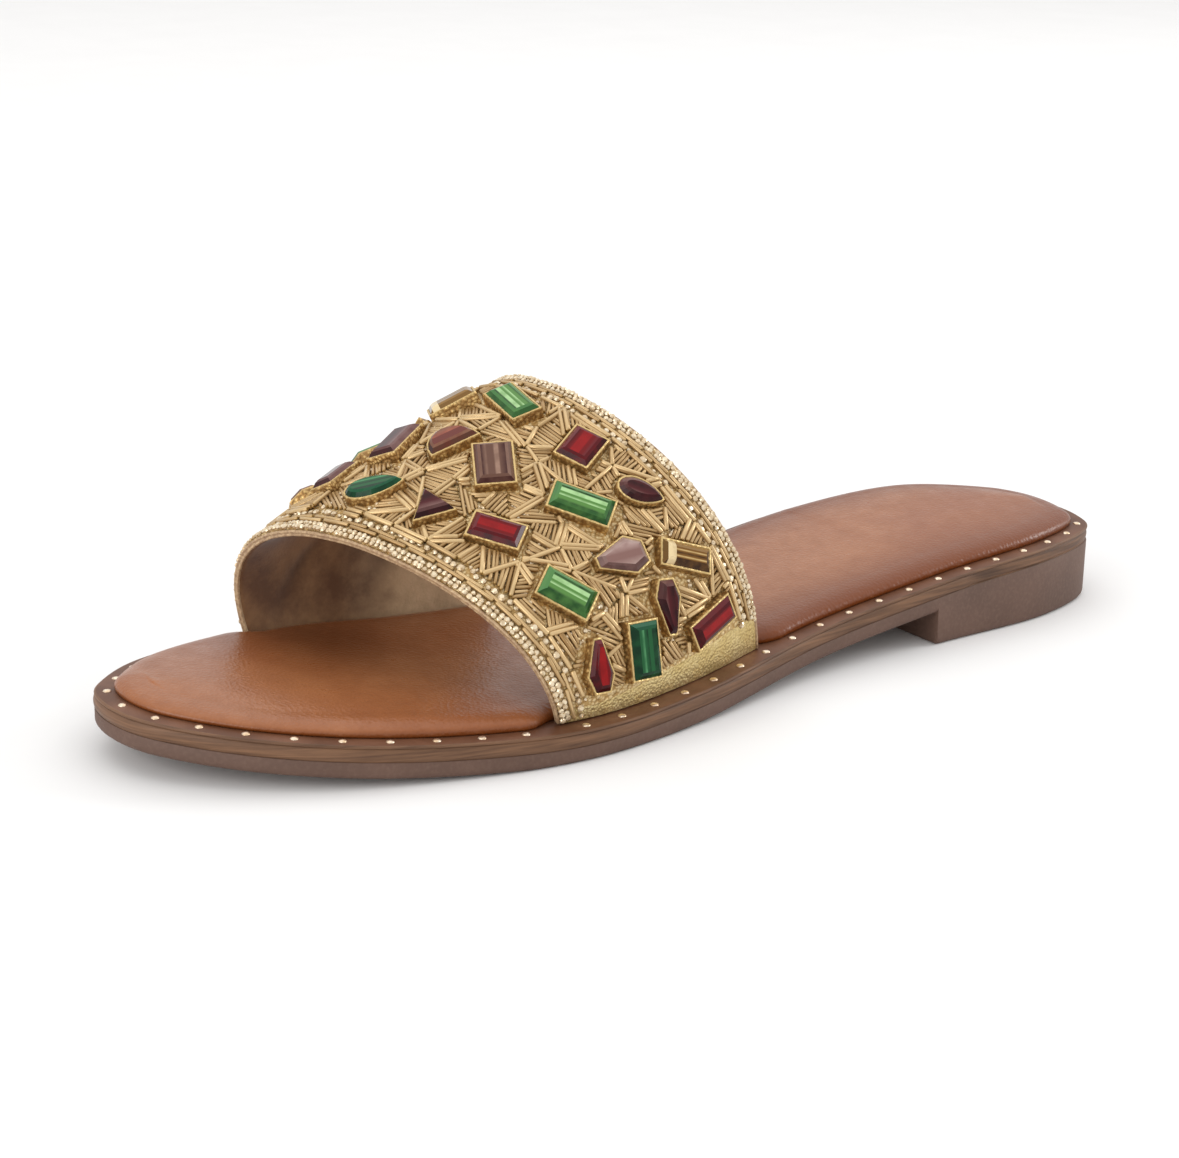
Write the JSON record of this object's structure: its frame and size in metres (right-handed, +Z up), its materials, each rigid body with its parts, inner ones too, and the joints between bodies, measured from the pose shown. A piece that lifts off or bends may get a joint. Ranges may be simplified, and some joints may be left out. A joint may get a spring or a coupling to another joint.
{
  "type": "embellished flat sandal",
  "caption": "Flat slide sandal with one wide band of gold bead mosaic and set stones, padded leather insole, studded welt and low heel.",
  "frame": {"origin": "middle of the sole's box, on the floor", "axes": "+Z up, toe towards -Y, lateral side of the left foot towards +X"},
  "size_m": [0.0891, 0.255, 0.0642],
  "materials": {
    "sole_rubber": "matte moulded, mauve brown",
    "welt_strip": "brushed golden brown with a dark groove",
    "insole_leather": "burnished chestnut with a soft shine",
    "gold_leather": "gold foil, suede lined",
    "bead_gold": "bright gold bugle beads",
    "crystal_trim": "champagne crystals in gold settings",
    "glass_ruby": "polished cut glass in a gold setting",
    "glass_garnet": "polished cut glass in a gold setting",
    "glass_emerald": "polished cut glass in a gold setting",
    "glass_pine": "polished cut glass in a gold setting",
    "glass_plum": "polished cut glass in a gold setting",
    "glass_mauve": "polished cut glass in a gold setting",
    "glass_topaz": "polished cut glass in a gold setting",
    "glass_smoke": "polished cut glass in a gold setting"
  },
  "bodies": {
    "root": {"outsole": "sole_rubber", "welt": "welt_strip", "insole": "insole_leather", "upper": "gold_leather", "bead_field": "bead_gold", "front_trim": "crystal_trim", "rear_trim": "crystal_trim", "stone_01": "glass_ruby", "stone_02": "glass_pine", "stone_03": "glass_plum", "stone_04": "glass_ruby", "stone_05": "glass_emerald", "stone_06": "glass_mauve", "stone_07": "glass_topaz", "stone_08": "glass_ruby", "stone_09": "glass_emerald", "stone_10": "glass_plum", "stone_11": "glass_plum", "stone_12": "glass_smoke", "stone_13": "glass_ruby", "stone_14": "glass_pine", "stone_15": "glass_garnet", "stone_16": "glass_emerald", "stone_17": "glass_plum", "stone_18": "glass_topaz", "stone_19": "glass_plum", "stone_20": "glass_emerald", "stone_21": "glass_ruby", "stone_22": "glass_garnet", "stone_23": "glass_topaz", "stone_24": "glass_smoke", "stone_25": "glass_emerald", "stone_26": "glass_ruby", "stone_27": "glass_plum", "stone_28": "glass_garnet"}
  },
  "joints": []
}
